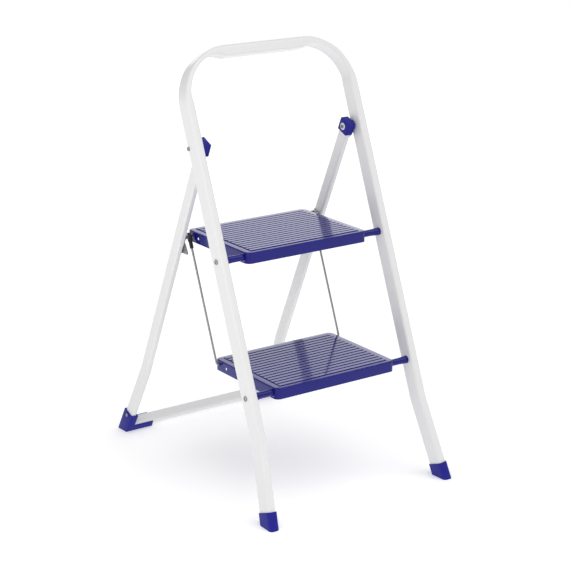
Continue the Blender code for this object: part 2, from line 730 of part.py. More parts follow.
def make_bracket(label, side, rear):
    """Sheet bracket: a plate on the leg with a tab ahead of it, and a shelf that the step's pin rests on."""
    pin = REAR_MATRIX.inverted() @ UPPER_PIN
    face = -REAR_TUBE_DEPTH / 2
    under = pin.z - PIN_RADIUS - 0.006
    low = pin.z - BRACKET_LENGTH
    plate_points = [(face + 0.003, pin.z + 0.001), (face + 0.003, under), (face, under - 0.001),
                    (face - BRACKET_TAB, under - 0.013), (face - BRACKET_TAB, under - 0.016), (face, low + 0.004),
                    (face + 0.004, low), (-face - 0.005, low), (-face - 0.002, low + 0.004),
                    (-face - 0.002, pin.z + 0.001)]
    outside = REAR_INSIDE - GAP
    plate = side_plate(f"bracket_{label}", plate_points, outside - BRACKET_SHEET, outside, side)
    to_world = Matrix.Rotation(-REAR_LEAN, 4, "X")
    clear = PIN_RADIUS + GAP
    wall = BRACKET_SHEET
    shelf_points = [(clear + 0.002, -clear), (-clear, -clear), (-clear, 0.002), (-clear - wall, 0.002),
                    (-clear - wall, -clear - wall), (clear + 0.002, -clear - wall)]
    shelf = side_plate("bracket_shelf", shelf_points, outside - BRACKET_SHEET - BRACKET_REACH,
                       outside - BRACKET_SHEET / 2, side)
    shelf.data.transform(Matrix.Translation(pin) @ to_world)
    shelf.parent = rear
    boolean(plate, shelf, "UNION")
    for height in bracket_rivet_spots():
        hole = cross_bar("bracket_hole", BRACKET_RIVET_RADIUS / 2 + GAP, REAR_INSIDE - 0.006, REAR_INSIDE + 0.004,
                         side, 0, height, 12)
        hole.parent = rear
        boolean(plate, hole)
    place(plate, "zinc", rear)
    for spot, height in zip(("upper", "lower"), bracket_rivet_spots()):
        head_base = outside - BRACKET_SHEET - GAP
        rivet = turned(f"bracket_rivet_{spot}_{label}",
                       small_rivet(BRACKET_RIVET_RADIUS, REAR_INSIDE + 0.004 - head_base), 12)
        place(rivet, "zinc", rear, (side * head_base, 0, height), across(-side))


def small_rivet(head, length):
    """A rivet whose head sits on Z = 0 and whose shank runs down."""
    shank = head / 2
    return [(0, head * 0.4), (head * 0.7, head * 0.32), (head, 0), (shank, 0), (shank, -length), (0, -length)]


def make_foot_rivet(label, side, rear):
    """The rivet that holds a shoe to the rear frame."""
    height = foot_rivet_spot()
    run_out = (REAR_BAR - height) * math.tan(REAR_FLARE)
    outside = REAR_BAR_HALF + run_out + REAR_TUBE_WIDTH / 2 + FOOT_OUT + GAP
    rivet = turned(f"foot_rivet_{label}", small_rivet(BRACKET_RIVET_RADIUS, 0.006), 12)
    place(rivet, "zinc", rear, (side * outside, 0, height), (0, side * (math.pi / 2 - REAR_FLARE), 0))


def build():
    front = make_empty("front_axis", FRONT_MATRIX)
    rear = make_empty("rear_axis", REAR_MATRIX)
    upper = make_empty("upper_step_axis", Matrix.Translation(UPPER_AXLE))
    lower = make_empty("lower_step_axis", Matrix.Translation(LOWER_AXLE))
    linkage = make_empty("linkage_axis", Matrix.Translation(UPPER_PIN))
    make_front_frame(front)
    make_rear_frame(rear)
    make_axle("upper", UPPER_AXLE, front)
    make_axle("lower", LOWER_AXLE, front)
    make_step("upper", upper)
    make_step("lower", lower)
    for label, side in SIDES.items():
        make_front_foot(label, side, front)
        make_rear_foot(label, side, rear)
        make_foot_rivet(label, side, rear)
        make_hinge(label, side, front, rear)
        make_step_pin(label, side, upper)
        make_rod(label, side, linkage)
        make_rod_end(label, side, linkage)
        make_bracket(label, side, rear)


build()
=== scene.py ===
"""The finished look of a folding two-step stool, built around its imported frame.

Metres, +Z up. X runs across the stool, and a person climbs from the -Y side.
"""

import json
import math
from contextlib import contextmanager

import bmesh
import bpy
from bpy.props import FloatProperty, FloatVectorProperty, IntProperty, PointerProperty
from mathutils import Matrix, Vector


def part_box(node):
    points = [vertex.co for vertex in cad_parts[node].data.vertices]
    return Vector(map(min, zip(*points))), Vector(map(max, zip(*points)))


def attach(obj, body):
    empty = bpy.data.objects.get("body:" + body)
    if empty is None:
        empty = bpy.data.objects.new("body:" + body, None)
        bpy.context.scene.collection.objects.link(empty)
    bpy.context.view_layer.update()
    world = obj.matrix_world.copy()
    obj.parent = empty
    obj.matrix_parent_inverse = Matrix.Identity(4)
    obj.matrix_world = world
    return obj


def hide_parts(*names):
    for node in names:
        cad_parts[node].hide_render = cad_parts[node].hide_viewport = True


bl_info = {
    "name": "Folding Step Stool",
    "version": (1, 0, 0),
    "blender": (4, 5, 0),
    "location": "View3D > Sidebar > Stool",
    "description": "Builds the tubes, treads, hinges, feet and fittings of a folding step stool",
    "category": "Add Mesh",
}

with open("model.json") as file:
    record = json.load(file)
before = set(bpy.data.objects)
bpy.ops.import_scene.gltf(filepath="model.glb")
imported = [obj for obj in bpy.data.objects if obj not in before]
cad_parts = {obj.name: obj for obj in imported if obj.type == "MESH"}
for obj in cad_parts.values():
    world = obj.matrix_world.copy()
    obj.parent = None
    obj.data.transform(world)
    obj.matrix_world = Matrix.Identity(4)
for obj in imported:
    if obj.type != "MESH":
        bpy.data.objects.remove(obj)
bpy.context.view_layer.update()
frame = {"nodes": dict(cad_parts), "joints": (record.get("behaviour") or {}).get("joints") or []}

# ---------------------------------------------------------------- places, from the frame

PIVOTS = {joint["name"]: Vector(joint["pos_m"]) for joint in frame["joints"]}
HINGE = PIVOTS["rear_frame_fold"]
UPPER_AXLE = PIVOTS["step_fold"]
LOWER_AXLE = PIVOTS["lower_step_fold"]
UPPER_PIN = PIVOTS["link_fold"]
LOWER_PIN = LOWER_AXLE + UPPER_PIN - UPPER_AXLE
SIDES = {"left": -1, "right": 1}


def middle(node):
    low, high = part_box(node)
    return (low + high) / 2


def size(node):
    low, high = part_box(node)
    return high - low


def lean_of(start, end):
    """Angle from the vertical, towards the back, of the line that climbs from start to end."""
    return math.atan2(end.y - start.y, end.z - start.z)


FRONT_LEAN = lean_of(LOWER_AXLE, UPPER_AXLE)
REAR_LEAN = -lean_of(middle("foot_rivet_left"), Vector((0, HINGE.y, HINGE.z)))

# Local frames: X across the stool, Z up along the legs, Y square to both
FRONT_FRAME = Matrix.Translation(LOWER_AXLE) @ Matrix.Rotation(-FRONT_LEAN, 4, "X")
REAR_FRAME = Matrix.Translation(HINGE) @ Matrix.Rotation(REAR_LEAN, 4, "X")
QUARTER_TURN = math.pi / 2


# ---------------------------------------------------------------- sizes and colours a user would change

def length(name, description, default):
    return FloatProperty(name=name, description=description, default=default, min=0.0, unit="LENGTH",
                         subtype="DISTANCE", precision=4)


def angle(name, description, default):
    return FloatProperty(name=name, description=description, default=default, unit="ROTATION",
                         subtype="ANGLE")


def colour(name, description, default):
    return FloatVectorProperty(name=name, description=description, default=default, min=0.0, max=1.0,
                               size=3, subtype="COLOR")


class TubeSizes(bpy.types.PropertyGroup):
    """The hoop's tube and the rear frame's tube."""
    hoop_width: length("Hoop width", "Overall width of the straight part of the hoop", 0.384)
    hoop_top: length("Hoop top", "Top of the hoop above the lower axle, along the legs", 0.6356)
    hoop_knee: length("Hoop knee", "Where the legs turn outward, below the lower axle", 0.0774)
    hoop_end: length("Hoop end", "Lower end of the tube, below the lower axle", 0.2199)
    hoop_corner: length("Hoop corner", "Bend radius of the hoop's upper corners", 0.086)
    hoop_flare: angle("Hoop flare", "How far the lower legs turn outward", math.radians(5.8))
    tube_width: length("Tube width", "Hoop tube across the stool", 0.0165)
    tube_depth: length("Tube depth", "Hoop tube front to back", 0.034)
    tube_edge: length("Tube edge", "Rounding of the hoop tube's edges", 0.0050)
    knee_radius: length("Knee radius", "Bend radius at the knees of both frames", 0.10)
    rear_width: length("Rear width", "Overall width of the straight part of the rear frame", 0.337)
    rear_top: length("Rear top", "Upper end of the rear tube above the hinge", 0.010)
    rear_knee: length("Rear knee", "Where the rear legs turn outward, below the hinge", 0.541)
    rear_bar: length("Rear bar", "Middle of the floor bar below the hinge", 0.6869)
    rear_corner: length("Rear corner", "Bend radius of the rear frame's lower corners", 0.014)
    rear_flare: angle("Rear flare", "How far the rear legs turn outward", math.radians(4.7))
    rear_tube_width: length("Rear tube width", "Rear tube across the stool", 0.012)
    rear_tube_depth: length("Rear tube depth", "Rear tube front to back", 0.024)
    rear_tube_edge: length("Rear tube edge", "Rounding of the rear tube's edges", 0.0035)
    pinch_outside: length("Outer pinch", "How far a bend's outer wall is drawn in", 0.0040)
    pinch_inside: length("Inner pinch", "How far a bend's inner wall buckles in", 0.0036)
    bar_swell: length("Bar swell", "How much thicker the hand rail is between its bends", 0.0040)


class TreadSizes(bpy.types.PropertyGroup):
    """The pressed steel steps."""
    corner: length("Corner", "Radius of the tread's corners", 0.011)
    edge: length("Edge", "Radius of the fold between top and skirt", 0.0020)
    sheet: length("Sheet", "Thickness of the steel sheet", 0.0011)
    rim: length("Rim", "Plain margin ahead of the first rib and behind the last", 0.0085)
    rib_margin: length("Rib margin", "From the ends of the ribs to the sides", 0.0135)
    rib_height: length("Rib height", "How far the ribs stand up", 0.0014)
    rib_share: FloatProperty(name="Rib share", description="Rib width as a share of the spacing",
                             default=0.78, min=0.2, max=0.9)
    ribs: IntProperty(name="Ribs", description="Number of ribs", default=16, min=3, max=40)


class FittingSizes(bpy.types.PropertyGroup):
    """Feet, hinges, rivets and rods."""
    foot_wall: length("Foot wall", "Plastic around the tubes in the feet", 0.0021)
    front_foot_height: length("Front foot", "Height of the front feet along the legs", 0.034)
    rear_foot_height: length("Rear foot", "Height of the rear feet along the legs", 0.031)
    rear_foot_reach: length("Rear reach", "How far the rear feet run along the floor bar", 0.052)
    rod_radius: length("Rod radius", "Radius of the link rods", 0.0020)
    rod_bend: length("Rod bend", "Bend radius at the rods' feet", 0.0050)


class Finishes(bpy.types.PropertyGroup):
    """Colours of the paints, plastics and plated steel."""
    white: colour("White", "Powder coat on the tubes", (0.84, 0.84, 0.84))
    blue_paint: colour("Blue paint", "Gloss paint on steps and axles", (0.009, 0.008, 0.18))
    blue_plastic: colour("Blue plastic", "Moulded feet and hinge blocks", (0.014, 0.014, 0.26))
    black_plastic: colour("Black plastic", "Moulded rod ends", (0.012, 0.012, 0.014))
    zinc: colour("Zinc", "Plated rivets, rods and brackets", (0.34, 0.35, 0.36))
    floor: colour("Floor", "Studio floor and backdrop", (0.92, 0.92, 0.92))


class Studio(bpy.types.PropertyGroup):
    """Camera and lights."""
    eye: FloatVectorProperty(name="Eye", description="Where the camera stands", subtype="TRANSLATION",
                             unit="LENGTH", default=(-1.7645, -2.5632, 1.3086))
    azimuth: angle("Azimuth", "Camera's turn about the vertical", math.radians(-34.94))
    elevation: angle("Elevation", "Camera's height above the horizon", math.radians(17.16))
    lens: FloatProperty(name="Lens", description="Focal length on a 36 mm sensor", default=107.48,
                        min=10, subtype="DISTANCE_CAMERA", unit="CAMERA")
    sky: FloatProperty(name="Sky", description="Brightness of the surroundings", default=0.5, min=0)
    overhead: FloatProperty(name="Overhead", description="Strength of the even light from above",
                            default=1.0, min=0)
    key: FloatProperty(name="Key", description="Power of the light at the left", default=3.0, min=0,
                       unit="POWER")
    back: FloatProperty(name="Back", description="Power of the soft box behind", default=32, min=0,
                        unit="POWER")


# ---------------------------------------------------------------- modelling by hand, in code

def fresh():
    """Leaves edit mode, with nothing selected."""
    if bpy.context.mode != "OBJECT":
        bpy.ops.object.mode_set(mode="OBJECT")
    bpy.ops.object.select_all(action="DESELECT")


def take(piece):
    fresh()
    piece.select_set(True)
    bpy.context.view_layer.objects.active = piece


@contextmanager
def editing(piece, kind="FACE"):
    """Edit mode on one piece, with nothing selected in it."""
    take(piece)
    bpy.ops.object.mode_set(mode="EDIT")
    bpy.ops.mesh.select_mode(type=kind)
    bpy.ops.mesh.select_all(action="DESELECT")
    yield
    bpy.ops.object.mode_set(mode="OBJECT")


def pick(piece, kind, wanted):
    """In edit mode, selects only the faces, edges or points that are wanted."""
    bpy.ops.mesh.select_mode(type=kind)
    bpy.ops.mesh.select_all(action="DESELECT")
    shape = bmesh.from_edit_mesh(piece.data)
    for part in {"FACE": shape.faces, "EDGE": shape.edges, "VERT": shape.verts}[kind]:
        if wanted(part):
            part.select_set(True)
    shape.select_flush_mode()
    bmesh.update_edit_mesh(piece.data)


def edge_middle(edge):
    return (edge.verts[0].co + edge.verts[1].co) / 2


def edge_along(edge, axis):
    return abs((edge.verts[0].co - edge.verts[1].co).normalized()[axis]) > 0.99


def named(piece, name):
    piece.name = name
    piece.data.name = name
    return piece


def settle(piece, matrix):
    """Puts a piece where the matrix says, with its place in its mesh."""
    take(piece)
    piece.matrix_world = matrix @ piece.matrix_world
    bpy.ops.object.transform_apply(location=True, rotation=True, scale=True)
    return piece


def add_box(name, low, high):
    fresh()
    low, high = Vector(low), Vector(high)
    bpy.ops.mesh.primitive_cube_add(size=1, location=(low + high) / 2)
    piece = named(bpy.context.object, name)
    piece.scale = high - low
    bpy.ops.object.transform_apply(location=True, rotation=False, scale=True)
    return piece


def add_disc(name, radius, depth, sides=48):
    """A cylinder from Z = 0 up to its depth."""
    fresh()
    bpy.ops.mesh.primitive_cylinder_add(vertices=sides, radius=radius, depth=depth,
                                        location=(0, 0, depth / 2))
    piece = named(bpy.context.object, name)
    bpy.ops.object.transform_apply(location=True, rotation=False, scale=True)
    return piece


def add_section(name, width, depth, edge, flats=(3, 5)):
    """A flat rounded rectangle at the origin: the start of a tube, facing up."""
    fresh()
    bpy.ops.mesh.primitive_plane_add(size=1)
    piece = named(bpy.context.object, name)
    piece.scale = (width, depth, 1)
    bpy.ops.object.transform_apply(location=False, rotation=False, scale=True)
    with editing(piece, "VERT"):
        bpy.ops.mesh.select_all(action="SELECT")
        bpy.ops.mesh.bevel(offset=edge, segments=6, affect="VERTICES")
        for axis, cuts in enumerate(flats):
            long_side = (width, depth)[axis] - 2 * edge
            pick(piece, "EDGE", lambda e: edge_along(e, axis) and e.calc_length() > long_side * 0.9)
            if cuts > 0:
                bpy.ops.mesh.subdivide(number_cuts=cuts)
    return piece


def run(offset, steps=1):
    """In edit mode, extrudes what is selected along the offset."""
    for _ in range(steps):
        bpy.ops.mesh.extrude_region_move(TRANSFORM_OT_translate={"value": Vector(offset) / steps})


def sweep(piece, corners, radii, bend_step=math.radians(5), ease=0.0):
    """Carries a flat section along a line through corners in (X, Z), each turned with its radius.

    Near each bend, the straight runs get short lengths over the distance called ease."""
    spots = [Vector((x, 0, z)) for x, z in corners]
    first = (spots[1] - spots[0]).normalized()
    settle(piece, Matrix.Translation(spots[0]) @ Matrix.Rotation(math.atan2(first.x, first.z), 4, "Y"))
    with editing(piece):
        bpy.ops.mesh.select_all(action="SELECT")
        here = spots[0]
        for before, corner, after, radius in zip(spots, spots[1:], spots[2:], radii):
            into, out = (corner - before).normalized(), (after - corner).normalized()
            turn = into.angle(out)
            start = corner - into * radius * math.tan(turn / 2)
            straight(start - here, ease)
            centre = corner + (out - into).normalized() * radius / math.cos(turn / 2)
            clockwise = 1 if into.z * out.x > into.x * out.z else -1
            bpy.ops.mesh.spin(steps=max(3, round(turn / bend_step)), angle=-clockwise * turn,
                              center=centre, axis=(0, 1, 0))
            here = corner + out * radius * math.tan(turn / 2)
        straight(spots[-1] - here, ease)
    return outward(piece)


def straight(offset, ease):
    if ease and offset.length > 3 * ease:
        near = offset.normalized() * ease
        run(near, 4)
        run(offset - 2 * near)
        run(near, 4)
    else:
        run(offset)


def outward(piece, merge=0.000005):
    with editing(piece, "VERT"):
        bpy.ops.mesh.select_all(action="SELECT")
        bpy.ops.mesh.remove_doubles(threshold=merge)
        bpy.ops.mesh.normals_make_consistent(inside=False)
    return piece


def apply(piece, modifier):
    take(piece)
    bpy.ops.object.modifier_apply(modifier=modifier.name)


def cut(piece, tool, operation="DIFFERENCE"):
    modifier = piece.modifiers.new("cut", "BOOLEAN")
    modifier.operation = operation
    modifier.object = tool
    apply(piece, modifier)
    bpy.data.objects.remove(tool)
    return piece


def wall(piece, thickness):
    modifier = piece.modifiers.new("wall", "SOLIDIFY")
    modifier.thickness = thickness
    modifier.offset = -1
    modifier.use_even_offset = True
    apply(piece, modifier)


def round_edges(piece, width, segments=3, sharper_than=35):
    modifier = piece.modifiers.new("edges", "BEVEL")
    modifier.width = width
    modifier.segments = segments
    modifier.limit_method = "ANGLE"
    modifier.angle_limit = math.radians(sharper_than)
    modifier.harden_normals = False
    apply(piece, modifier)


def smooth(piece, sharper_than=35):
    take(piece)
    bpy.ops.object.shade_smooth_by_angle(angle=math.radians(sharper_than))
    return piece


def cross_tool(radius, x, y, z, reach, sides=40):
    """A round cutter across the stool, reaching as far to each side of x."""
    tool = add_disc("cutter", radius, 2 * reach, sides)
    return settle(tool, Matrix.Translation((x - reach, y, z)) @ Matrix.Rotation(QUARTER_TURN, 4, "Y"))


def done(piece, body, slot, *nodes):
    """Gives a finished piece its finish and its body, and hides the frame nodes that it stands for."""
    piece.data.materials.clear()
    piece.data.materials.append(bpy.data.materials[FINISH_NAMES[slot]])
    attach(piece, body)
    if nodes:
        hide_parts(*nodes)
    return piece


# ---------------------------------------------------------------- finishes

FINISH_NAMES = {
    "white_paint": "White powder coat",
    "blue_paint": "Blue gloss paint",
    "blue_plastic": "Blue moulding",
    "black_plastic": "Black moulding",
    "zinc": "Zinc plate",
    "studio_floor": "Studio floor",
}


def new_finish(slot, **values):
    """A Principled material. A value that is the same all over sits on the shader's own socket."""
    material = bpy.data.materials.new(FINISH_NAMES[slot])
    material.use_nodes = True
    shader = material.node_tree.nodes["Principled BSDF"]
    for socket, value in values.items():
        shader.inputs[socket.replace("_", " ")].default_value = value
    return material


def link(tree, start, end):
    tree.links.new(start, end)


def object_noise(tree, scale, detail=2.0, roughness=0.5, stretch=(1, 1, 1)):
    where = tree.nodes.new("ShaderNodeTexCoord")
    mapping = tree.nodes.new("ShaderNodeMapping")
    mapping.inputs["Scale"].default_value = stretch
    noise = tree.nodes.new("ShaderNodeTexNoise")
    noise.inputs["Scale"].default_value = scale
    noise.inputs["Detail"].default_value = detail
    noise.inputs["Roughness"].default_value = roughness
    link(tree, where.outputs["Object"], mapping.inputs["Vector"])
    link(tree, mapping.outputs["Vector"], noise.inputs["Vector"])
    return noise


def vary_roughness(material, scale, low, high, stretch=(1, 1, 1)):
    tree = material.node_tree
    noise = object_noise(tree, scale, 4.0, 0.6, stretch)
    spread = tree.nodes.new("ShaderNodeMapRange")
    spread.inputs["From Min"].default_value = 0.3
    spread.inputs["From Max"].default_value = 0.7
    spread.inputs["To Min"].default_value = low
    spread.inputs["To Max"].default_value = high
    link(tree, noise.outputs["Fac"], spread.inputs["Value"])
    link(tree, spread.outputs["Result"], tree.nodes["Principled BSDF"].inputs["Roughness"])


def vary_colour(material, base, scale, spread, stretch=(1, 1, 1)):
    """Soft clouding around a base colour."""
    tree = material.node_tree
    noise = object_noise(tree, scale, 3.0, 0.55, stretch)
    ramp = tree.nodes.new("ShaderNodeValToRGB")
    ramp.color_ramp.elements[0].position = 0.35
    ramp.color_ramp.elements[1].position = 0.65
    ramp.color_ramp.elements[0].color = (*[c * (1 - spread) for c in base], 1)
    ramp.color_ramp.elements[1].color = (*[min(1, c * (1 + spread)) for c in base], 1)
    link(tree, noise.outputs["Fac"], ramp.inputs["Fac"])
    link(tree, ramp.outputs["Color"], tree.nodes["Principled BSDF"].inputs["Base Color"])


def add_bumps(material, layers, stretch=(1, 1, 1)):
    """Layers of fine relief, each a noise scale and a height in metres."""
    tree = material.node_tree
    normal = None
    for scale, height in layers:
        noise = object_noise(tree, scale, 2.0, 0.5, stretch)
        bump = tree.nodes.new("ShaderNodeBump")
        bump.inputs["Strength"].default_value = 1.0
        bump.inputs["Distance"].default_value = height
        link(tree, noise.outputs["Fac"], bump.inputs["Height"])
        if normal:
            link(tree, normal, bump.inputs["Normal"])
        normal = bump.outputs["Normal"]
    link(tree, normal, tree.nodes["Principled BSDF"].inputs["Normal"])


def white_powder_coat(base):
    coat = new_finish("white_paint", IOR=1.5, Coat_Weight=0.25, Coat_Roughness=0.12)
    vary_colour(coat, base, 14, 0.004)
    vary_roughness(coat, 60, 0.30, 0.34)
    add_bumps(coat, [(900, 0.000004)])


def blue_gloss_paint(base):
    gloss = new_finish("blue_paint", IOR=1.42, Specular_Tint=(0.55, 0.58, 1.0, 1.0), Coat_Weight=0.35,
                       Coat_Roughness=0.04, Coat_IOR=1.3)
    vary_colour(gloss, base, 22, 0.06)
    vary_roughness(gloss, 80, 0.10, 0.18)
    add_bumps(gloss, [(900, 0.000012), (150, 0.00002)])


def blue_moulding(base):
    moulding = new_finish("blue_plastic", IOR=1.3)
    vary_colour(moulding, base, 90, 0.05)
    vary_roughness(moulding, 240, 0.34, 0.46)
    add_bumps(moulding, [(2600, 0.000018), (240, 0.00003)])


def black_moulding(base):
    moulding = new_finish("black_plastic", IOR=1.49)
    vary_colour(moulding, base, 120, 0.15)
    vary_roughness(moulding, 300, 0.36, 0.5)
    add_bumps(moulding, [(2400, 0.00002)])


def zinc_plate(base):
    plate = new_finish("zinc", Metallic=1.0)
    vary_colour(plate, base, 300, 0.10)
    vary_roughness(plate, 420, 0.18, 0.38)
    add_bumps(plate, [(1800, 0.000012)])


# ---------------------------------------------------------------- tubes

def pinch(piece, half, centre_z, radius, depth, tubes):
    """Draws in the upper bends as a bender does: outer wall flattened, inner wall buckled."""
    centre_x = half - radius
    h = tubes.tube_width / 2
    quarter = radius * QUARTER_TURN

    outer_ramp = (-0.12, 0.35)      # shares of the bend over which its walls are drawn in
    inner_ramp = (-0.03, 0.14)
    swell_ramp = (-0.004, 0.014)    # metres from the bend's start, towards the middle of the rail
    side_relief = 0.45              # how much less the inner wall buckles at the tube's sides
    widening = 0.035                # how much a flattened bend grows front to back

    def rise(value, start, end):
        t = min(1, max(0, (value - start) / (end - start)))
        return t * t * (3 - 2 * t)

    for vertex in piece.data.vertices:
        x, y, z = vertex.co
        side = 1 if x > 0 else -1
        out, up = side * x - centre_x, z - centre_z
        if up < 0:
            reach, along, direction = out, up, Vector((side, 0, 0))
        elif out < 0:
            reach, along, direction = up, quarter - out, Vector((0, 0, 1))
        else:
            reach = math.hypot(out, up)
            along = radius * math.atan2(up, out)
            direction = Vector((side * out / reach, 0, up / reach))
        place = along / quarter
        share = min(1, max(0, (reach - radius + h) / (2 * h)))
        outer = rise(place, *outer_ramp) * rise(1 - place, *outer_ramp)
        inner = rise(place, *inner_ramp) * rise(1 - place, *inner_ramp)
        across = min(1, abs(y) / (depth / 2))
        buckle = tubes.pinch_inside * inner * (1 - side_relief * across ** 4)
        swell = tubes.bar_swell * rise(centre_x - side * x, *swell_ramp) * (up > 0)
        vertex.co += direction * ((1 - share) * (buckle - swell) - share * tubes.pinch_outside * outer)
        vertex.co.y *= 1 + widening * outer


def hoop_corners(tubes):
    half = (tubes.hoop_width - tubes.tube_width) / 2
    top = tubes.hoop_top - tubes.tube_width / 2
    run_out = (tubes.hoop_end - tubes.hoop_knee) * math.tan(tubes.hoop_flare)
    return [(-half - run_out, -tubes.hoop_end), (-half, -tubes.hoop_knee), (-half, top), (half, top),
            (half, -tubes.hoop_knee), (half + run_out, -tubes.hoop_end)]


def make_hoop(tubes):
    hoop = add_section("hoop", tubes.tube_width, tubes.tube_depth, tubes.tube_edge)
    corners = hoop_corners(tubes)
    sweep(hoop, corners, [tubes.knee_radius, tubes.hoop_corner, tubes.hoop_corner, tubes.knee_radius],
          math.radians(3.75), 0.02)
    half, top = corners[3]
    pinch(hoop, half, top - tubes.hoop_corner, tubes.hoop_corner, tubes.tube_depth, tubes)
    settle(hoop, FRONT_FRAME)
    smooth(hoop, 30)
    return done(hoop, "front", "white_paint", "front_frame")


def rear_corners(tubes):
    half = (tubes.rear_width - tubes.rear_tube_width) / 2
    bar_half = half + (tubes.rear_bar - tubes.rear_knee) * math.tan(tubes.rear_flare)
    return [(-half, tubes.rear_top), (-half, -tubes.rear_knee), (-bar_half, -tubes.rear_bar),
            (bar_half, -tubes.rear_bar), (half, -tubes.rear_knee), (half, tubes.rear_top)]


def sweep_rear(name, tubes, extra=0.0):
    tube = add_section(name, tubes.rear_tube_width + 2 * extra, tubes.rear_tube_depth + 2 * extra,
                       tubes.rear_tube_edge + extra)
    return sweep(tube, rear_corners(tubes),
                 [tubes.knee_radius, tubes.rear_corner, tubes.rear_corner, tubes.knee_radius],
                 math.radians(7.5))


def make_rear_frame(tubes):
    tube = sweep_rear("rear_legs", tubes)
    settle(tube, REAR_FRAME)
    smooth(tube, 30)
    return done(tube, "rear", "white_paint", "rear_frame")


# ---------------------------------------------------------------- treads and axles

def rib_bands(treads, front, back):
    """Front and back edge of each rib."""
    first, last = front + treads.rim, back - treads.rim
    pitch = (last - first) / treads.ribs
    for k in range(treads.ribs):
        centre = first + pitch * (k + 0.5)
        yield centre - pitch * treads.rib_share / 2, centre + pitch * treads.rib_share / 2


def press_ribs(piece, treads, half, front, back, top):
    """Cuts the flat top into bands and draws the ribs up out of it."""
    bands = list(rib_bands(treads, front, back))
    rib_end = half - treads.rib_margin

    def on_top(face):
        return face.normal.z > 0.99 and face.calc_center_median().z > top - 0.0001

    def is_rib(face):
        spot = face.calc_center_median()
        return (on_top(face) and abs(spot.x) < rib_end
                and any(low < spot.y < high for low, high in bands))

    slope = treads.rib_height
    with editing(piece):
        lines = [((0, y, 0), (0, 1, 0)) for band in bands for y in band]
        lines += [((side * rib_end, 0, 0), (1, 0, 0)) for side in SIDES.values()]
        for spot, direction in lines:
            pick(piece, "FACE", on_top)
            bpy.ops.mesh.bisect(plane_co=spot, plane_no=direction)
        pick(piece, "FACE", is_rib)
        bpy.ops.mesh.inset(thickness=slope * 0.22, depth=slope * 0.8)
        bpy.ops.mesh.inset(thickness=slope * 0.3, depth=slope * 0.2)


def make_tread(level, axle, treads):
    """One pressed tray: skirt, rolled edge, rim and ribs, with its pivot holes."""
    node = f"{level}_step"
    low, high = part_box(node)
    piece = add_box(f"{level}_tread", low, high)

    def upright(edge):
        return edge_along(edge, 2)

    def top_edge(edge):
        return all(v.co.z > high.z - 0.0001 for v in edge.verts)

    with editing(piece, "EDGE"):
        pick(piece, "FACE", lambda f: f.normal.z < -0.5)
        bpy.ops.mesh.delete(type="FACE")
        pick(piece, "EDGE", upright)
        bpy.ops.mesh.bevel(offset=treads.corner, segments=8, affect="EDGES")
        pick(piece, "EDGE", lambda e: top_edge(e) and len(e.link_faces) == 2
             and min(f.normal.z for f in e.link_faces) < 0.5)
        bpy.ops.mesh.bevel(offset=treads.edge, segments=4, affect="EDGES")
    press_ribs(piece, treads, high.x, low.y, high.y, high.z)
    outward(piece)
    wall(piece, treads.sheet)
    pin = axle + UPPER_PIN - UPPER_AXLE
    axle_hole = size("upper_axle").y / 2 + 0.0004
    pin_hole = size("step_pin_left").y / 2 - 0.0011
    spare_hole, spare_ahead, spare_drop = 0.0028, 0.020, 0.004
    reach = 0.006
    for side in SIDES.values():
        face = side * high.x
        cut(piece, cross_tool(axle_hole, face, axle.y, axle.z, reach))
        cut(piece, cross_tool(pin_hole, face, pin.y, pin.z, reach, 24))
        cut(piece, cross_tool(spare_hole, face, pin.y - spare_ahead, pin.z - spare_drop, reach, 24))
    smooth(piece, 25)
    return done(piece, level, "blue_paint", node)


def make_axle(level, axle):
    """A cross tube that flares where it meets the legs."""
    node = f"{level}_axle"
    half = size(node).x / 2
    radius = size(node).y / 2
    piece = add_disc(f"{level}_cross_tube", radius, 2 * half, 48)
    settle(piece, Matrix.Translation((0, 0, -half)))
    flare = [(0.018, 1.0), (0.012, 1.05), (0.006, 1.12), (0.0, 1.16)]  # distance from the end, growth
    tube_wall, bore_depth = 0.0014, 0.010
    with editing(piece, "VERT"):
        for back, _ in flare[:3]:
            for side in (-1, 1):
                bpy.ops.mesh.select_all(action="SELECT")
                bpy.ops.mesh.bisect(plane_co=(0, 0, side * (half - back)), plane_no=(0, 0, 1))
        for back, grow in flare[1:]:
            for side in (-1, 1):
                spot = side * (half - back)
                pick(piece, "VERT", lambda v: abs(v.co.z - spot) < 0.0001)
                bpy.ops.transform.resize(value=(grow, grow, 1), center_override=(0, 0, spot))
        pick(piece, "FACE", lambda f: abs(f.normal.z) > 0.9 and len(f.verts) > 8)
        bpy.ops.mesh.inset(thickness=tube_wall, use_individual=True)
        bpy.ops.mesh.extrude_faces_move(TRANSFORM_OT_shrink_fatten={"value": -bore_depth})
    settle(piece, Matrix.Translation(axle) @ Matrix.Rotation(QUARTER_TURN, 4, "Y"))
    smooth(piece, 35)
    return done(piece, "front", "blue_paint", node)


# ---------------------------------------------------------------- rivets

